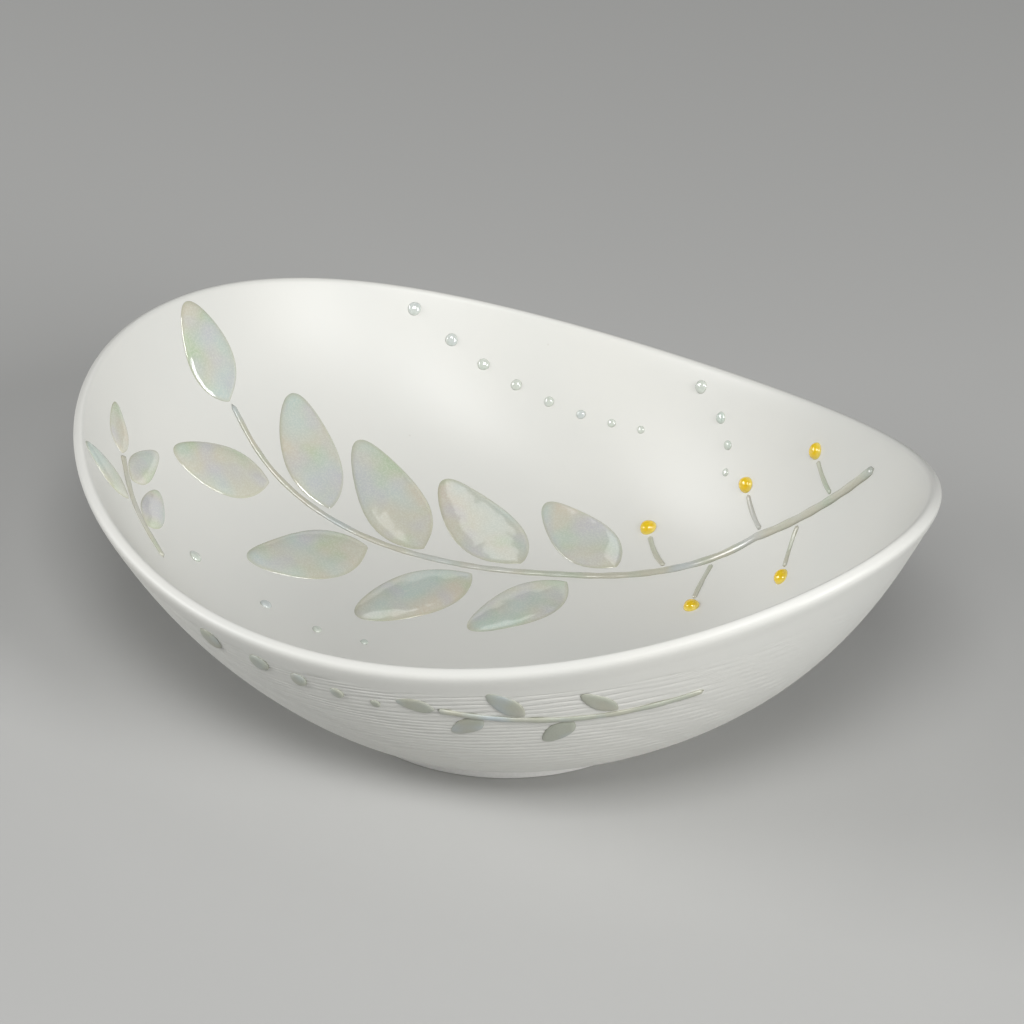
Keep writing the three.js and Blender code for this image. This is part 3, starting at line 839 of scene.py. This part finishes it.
def pearl_lustre(name, ground, tints, rim, roughness, uneven, clear=0.0):
    """A lustre; uneven is how much its bubbles and waves show, and clear lets light through."""
    material, tree, shader, coordinates = start_material(name)
    grain = add_node(tree, "ShaderNodeTexNoise", {"Scale": per_mm(GRAIN_SIZE), "Detail": 1.0},
                     {"Vector": coordinates})
    bubbles = add_node(tree, "ShaderNodeMapRange",
                       {"From Min": 0.4, "From Max": 0.7, "To Min": 0.0, "To Max": uneven},
                       {"Value": grain.outputs["Fac"]})
    bubbled = add_node(tree, "ShaderNodeMix", {"data_type": "RGBA", MIX_B: linear("DADCD2")},
                       {0: bubbles.outputs["Result"],
                        MIX_A: drifting_tints(tree, coordinates, ground, tints)})
    # Painted shade: the thin rim of each drop turns to the darker rim colour, for the shadow line where its
    # edge meets the wall.
    colour = with_rim(tree, bubbled.outputs[MIX_RESULT], rim, 0.05, 0.4, 0.6)
    tree.links.new(colour, shader.inputs["Base Color"])
    wave = add_node(tree, "ShaderNodeTexNoise", {"Scale": per_mm(WAVE_SIZE), "Detail": 1.0},
                    {"Vector": coordinates})
    wavy = add_node(tree, "ShaderNodeBump", {"Strength": uneven, "Distance": WAVE_HEIGHT * MM},
                    {"Height": wave.outputs["Fac"]})
    grainy = add_node(tree, "ShaderNodeBump",
                      {"Strength": 0.4 * uneven, "Distance": GRAIN_HEIGHT * MM},
                      {"Height": grain.outputs["Fac"], "Normal": wavy.outputs["Normal"]})
    tree.links.new(grainy.outputs["Normal"], shader.inputs["Normal"])
    shader.inputs["Roughness"].default_value = roughness
    shader.inputs["IOR"].default_value = 1.8
    shader.inputs["Transmission Weight"].default_value = clear
    return material


# %% [markdown]
# ## Yellow enamel
#
# The berries are amber glass over white: golden where the drop is thick, and a paler lemon at its
# thin rim, where the porcelain shows through. Real glass could be made with transmission, but so
# small a drop bends the light so much that it comes out dark. So each point's depth picks the
# colour, and a clear coat gives the sharp highlight.

# %% Yellow enamel
AMBER_CLOUD = 1.5  # mm


def yellow_glass():
    material, tree, shader, coordinates = start_material("yellow_glass_enamel")
    noise = add_node(tree, "ShaderNodeTexNoise", {"Scale": per_mm(AMBER_CLOUD)}, {"Vector": coordinates})
    cloud = add_node(tree, "ShaderNodeMix",
                     {"data_type": "RGBA", MIX_A: linear("E2B512"), MIX_B: linear("F3D437")},
                     {0: noise.outputs["Fac"]})
    colour = with_rim(tree, cloud.outputs[MIX_RESULT], "F4DF6E", 0.15, 0.7, 0.75)
    tree.links.new(colour, shader.inputs["Base Color"])
    shader.inputs["Roughness"].default_value = 0.06
    shader.inputs["IOR"].default_value = 1.6
    shader.inputs["Coat Weight"].default_value = 0.6
    return material


# %% Make the body and the foot
porcelain = satin_porcelain()
clay = bare_porcelain()
# The fourth colour of each lustre is its rim, darker than its ground: painted shade along the drop's edge.
pearl = pearl_lustre("pearl_lustre_enamel", "C9C7B7", PEARL_TINTS, "B4B39B", roughness=0.09, uneven=0.45)
dew = pearl_lustre("clear_lustre_enamel", "D2D8CE", CLEAR_TINTS, "B3B6A6", roughness=0.07, uneven=0.2,
                   clear=0.06)
trail = pearl_lustre("trailed_lustre_enamel", "BDBBAB", TRAIL_TINTS, "A6A28E", roughness=0.18,
                     uneven=0.15)
matt = pearl_lustre("matt_lustre_enamel", "A5A99B", MATT_TINTS, "9B9C88", roughness=0.35, uneven=0.08)
amber = yellow_glass()
print("finishes:", ", ".join(finish.name for finish in (porcelain, clay, pearl, dew, trail, matt, amber)))
add_body(porcelain)
add_foot(clay)

# %% [markdown]
# ## The sprigs, berries and dew
#
# A branch is trailed first, then leaves are set to its left and right, each a little off it, as
# the wet enamel would otherwise run together. Short twigs with berries fill the branch's bare
# start, and rows of dew beads shrink along a curve. The places could be set one by one, but a few
# rules keep the spacing even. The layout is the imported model's: the same chart points, counts and
# sizes, so that each piece lies where its solid is.

# %% Sizes of the enamel, millimetres
LEAF_CROWN, BERRY_CROWN, BEAD_CROWN = 1.0, 1.35, 0.7
HIGHEST_BEAD = 0.9
BRANCH_WIDTH, BRANCH_END_WIDTH = 2.0, 1.2
CLEARANCE = 0.5
LEAF_CLEARANCE = 1.6
LEAF_COUNT, LEAF_LENGTH, LEAF_WIDTH = 9, 29, 14
TWIG_LENGTH, TWIG_WIDTH = 9, 1.1
BERRY_COUNT, BERRY_DIAMETER = 5, 3.6
LARGE_BEAD, SMALL_BEAD = 2.9, 1.7
LARGE_DROP, SMALL_DROP = 5.5, 2.2
HEEL_LEAF = (15, 7)
SMALL_LEAF = (10, 5)
SMALL_TWIG_WIDTH = 1.4

# %% How the enamel is set out
LEAF_LEAN, LEAF_LEAN_LOSS = 50, 0.25  # degrees off the stem, and the share lost toward its end
LEAF_SWELL = 0.26  # of a leaf's size, which it would lose at either end of the stem
LEAF_MIDDLE = 0.45  # of a leaf's length, round which its rings shrink to the crown
LAST_LEAF_SHARE = 0.95  # of the stem, one step past the last of the side leaves
END_LEAF_SCALE = 0.8
TWIG_LEAN, TWIG_BOW = 55, 0.25  # degrees off the branch, and the bow over the length
BERRY_SHARES = (0.1, 0.36)  # of the branch, for the first twig and the last
BEAD_SPREAD = 0.8  # below 1 sets the beads wider apart at the start of a row
LEAF_ROUNDS, BERRY_ROUNDS, BEAD_ROUNDS = 60, 32, 28  # points round an outline

# %% Leaves, berries and beads


def start_off(line_width, clearance, degrees):
    """How far along its own axis a piece starts, to stand clear of the line that it leans off."""
    return (line_width / 2 + clearance) / math.sin(math.radians(abs(degrees)))


def add_leaf(name, place, start, size, glass):
    length, width = size
    crown = LEAF_CROWN * math.sqrt(width / LEAF_WIDTH)
    outline = leaf_outline(start, length, width)
    add_drop(name, place, start + length * LEAF_MIDDLE, outline, crown, glass, LEAF_ROUNDS)


def add_leaves(name, course, line_width, count, first_share, size, glass):
    """Leaves to the right and left of a stem by turns, and one at its end."""
    length, width = size
    for i in range(count - 1):
        lean = (LEAF_LEAN if i % 2 else -LEAF_LEAN) * (1 - LEAF_LEAN_LOSS * i / count)
        scale = 1 - LEAF_SWELL + LEAF_SWELL * math.sin(math.pi * (i + 1) / count)
        start = start_off(line_width, LEAF_CLEARANCE * width / LEAF_WIDTH, lean)
        place = turned(course(mix(first_share, LAST_LEAF_SHARE, i / (count - 1))), lean)
        add_leaf(f"{name}_{i + 1}", place, start, (length * scale, width * scale), glass)
    end_size = (length * END_LEAF_SCALE, width * END_LEAF_SCALE)
    add_leaf(f"{name}_{count}", course(1), CLEARANCE, end_size, glass)


def add_berry_twig(name, place, degrees, length):
    """A short bowed twig off the branch, with a berry just past its end."""
    start = start_off(BRANCH_WIDTH, CLEARANCE, degrees)
    bow = math.copysign(length * TWIG_BOW, degrees)
    root = turned(place, degrees)

    def course(share):
        share = np.asarray(share, float)
        spot = chart_spot(root, start + length * share, bow * share**2)
        aim = root["ahead"] * length + root["left"] * (2 * bow * share)[..., None]
        return place_on(root["skin"], spot, aim)

    add_thread(f"{name}_twig", course, (TWIG_WIDTH, TWIG_WIDTH), 24, trail)
    end = course(1.0)
    spot = chart_spot(end, np.array(BERRY_DIAMETER / 2 + CLEARANCE), np.array(0.0))
    berry = place_on(end["skin"], spot, end["ahead"])
    outline = round_outline(BERRY_DIAMETER)
    add_drop(f"{name}_berry", berry, 0, outline, BERRY_CROWN, amber, BERRY_ROUNDS)


def add_beads(name, course, count, large, small, glass):
    """A row of beads that shrink along a course."""
    for i in range(count):
        share = i / (count - 1)
        diameter = mix(large, small, share)
        crown = min(BEAD_CROWN * diameter / LARGE_BEAD, HIGHEST_BEAD)
        place = course(share**BEAD_SPREAD)
        add_drop(f"{name}_{i + 1}", place, 0, round_outline(diameter), crown, glass, BEAD_ROUNDS)


# %% The sprig inside
branch = smooth_course(INSIDE, [(0.6, 0.63), (0.37, 0.55), (0.16, 0.45), (-0.01, 0.32),
                                (-0.19, 0.19), (-0.39, 0.1), (-0.55, 0.07), (-0.68, 0.1)])
add_thread("branch", branch, (BRANCH_WIDTH, BRANCH_END_WIDTH), 150, trail)
add_leaves("leaf", branch, BRANCH_WIDTH, LEAF_COUNT, 0.42, (LEAF_LENGTH, LEAF_WIDTH), pearl)
for i in range(BERRY_COUNT):
    share = mix(*BERRY_SHARES, i / (BERRY_COUNT - 1))
    add_berry_twig(f"berry_{i + 1}", branch(share), TWIG_LEAN if i % 2 else -TWIG_LEAN, TWIG_LENGTH)
print("branch, leaves, twigs and berries:", 1 + LEAF_COUNT + 2 * BERRY_COUNT, "pieces")

# %% The heel sprig, the dew and the sprig outside
heel = smooth_course(INSIDE, [(-0.5, -0.44), (-0.61, -0.41), (-0.72, -0.33)])
add_thread("heel_twig", heel, (SMALL_TWIG_WIDTH, SMALL_TWIG_WIDTH), 48, trail)
add_leaves("heel_leaf", heel, SMALL_TWIG_WIDTH, 4, 0.25, HEEL_LEAF, pearl)
far_row = smooth_course(INSIDE, [(-0.6, 0.68), (-0.39, 0.65), (-0.22, 0.66), (-0.05, 0.7)])
add_beads("far_bead", far_row, 8, LARGE_BEAD, SMALL_BEAD, dew)
tip_row = smooth_course(INSIDE, [(0.06, 0.89), (0.12, 0.81), (0.15, 0.74), (0.16, 0.66)])
add_beads("tip_bead", tip_row, 4, LARGE_BEAD, SMALL_BEAD, dew)
low_row = smooth_course(INSIDE, [(-0.49, -0.3), (-0.4, -0.26), (-0.3, -0.23), (-0.2, -0.18)])
add_beads("low_bead", low_row, 4, LARGE_BEAD, SMALL_BEAD, dew)
drop_row = smooth_course(OUTSIDE, [(-0.22, -0.74), (-0.1, -0.76), (0.02, -0.72), (0.1, -0.68)])
add_beads("outside_drop", drop_row, 5, LARGE_DROP, SMALL_DROP, matt)
outer_twig = smooth_course(OUTSIDE, [(0.51, -0.36), (0.35, -0.5), (0.2, -0.66)])
add_thread("outside_twig", outer_twig, (SMALL_TWIG_WIDTH, SMALL_TWIG_WIDTH), 64, matt)
add_leaves("outside_leaf", outer_twig, SMALL_TWIG_WIDTH, 5, 0.3, SMALL_LEAF, matt)

# %% [markdown]
# A last look at the pieces: each one's box is set against its solid's, and one that has strayed is
# named.

# %% Check each piece against its solid
NEAR_ENOUGH = 0.9  # mm
strayed = 0
for piece in list(bpy.context.scene.objects):
    for node in piece.get("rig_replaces", []):
        low, high = (np.array(corner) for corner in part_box(node))
        own = np.array([vert.co for vert in piece.data.vertices])
        off = max(np.abs(own.min(0) - low).max(), np.abs(own.max(0) - high).max()) / MM
        if off > NEAR_ENOUGH:
            strayed += 1
            print("differs from its solid by", round(float(off), 2), "mm:", piece.name)
print("pieces that strayed from their solids:", strayed)

# %% [markdown]
# ## Floor and light
#
# A plain pale floor, and four soft lights in an almost dark surround: a tall window low on the
# right, a fill on the left, one in front above, and a dim one high behind. One even sky would be
# simpler, but it would wash out the shading that shows how deep the bowl is. Each light's power
# was set by the brightness of the white wall in some twenty places. They are rectangles, so they
# show as soft windows in the glossy enamel.

# %% Floor
FLOOR_REACH = 3  # m from the bowl to the floor's edge


def floor_paint():
    material, _tree, shader, _coordinates = start_material("pale_floor")
    shader.inputs["Base Color"].default_value = linear("B6B6B4")
    shader.inputs["Roughness"].default_value = 0.9
    return material


def add_floor():
    bm = bmesh.new()
    bmesh.ops.create_grid(bm, x_segments=1, y_segments=1, size=FLOOR_REACH)
    mesh = bpy.data.meshes.new("floor")
    bm.to_mesh(mesh)
    bm.free()
    mesh.materials.append(floor_paint())
    floor = bpy.data.objects.new("floor", mesh)
    bpy.context.scene.collection.objects.link(floor)


add_floor()

# %% Lights
LIGHT_AIM = Vector((0, 0, 0.03))  # m
LIGHT_DISTANCE = 1.2  # m
SURROUND_STRENGTH = 0.05


def add_light(name, turn, height, size, power):
    """A soft light, turned so far to the right of the camera and raised so far, in degrees."""
    azimuth, raised = CAMERA_AZIMUTH + math.radians(turn), math.radians(height)
    level = math.cos(raised)
    way = Vector((math.sin(azimuth) * level, -math.cos(azimuth) * level, math.sin(raised)))
    data = bpy.data.lights.new(name, "AREA")
    data.shape = "RECTANGLE"
    data.size, data.size_y = size
    data.energy = power
    light = bpy.data.objects.new(name, data)
    light.location = LIGHT_AIM + way * LIGHT_DISTANCE
    light.rotation_euler = way.to_track_quat("Z", "Y").to_euler()
    bpy.context.scene.collection.objects.link(light)
    print("light:", name, power, "W")


add_light("window", 44, 26, (0.4, 0.7), 10.2)
add_light("left_fill", -88, 25, (0.6, 0.5), 7.6)
add_light("front_top", 0, 52, (0.4, 0.4), 6.7)
add_light("overhead", 170, 64, (0.25, 0.5), 0.5)
world = bpy.data.worlds.new("surround")
world.use_nodes = True
surround = world.node_tree.nodes["Background"]
surround.inputs["Color"].default_value = linear("DDE0E2")
surround.inputs["Strength"].default_value = SURROUND_STRENGTH
bpy.context.scene.world = world
bpy.context.scene.view_settings.view_transform = "Standard"
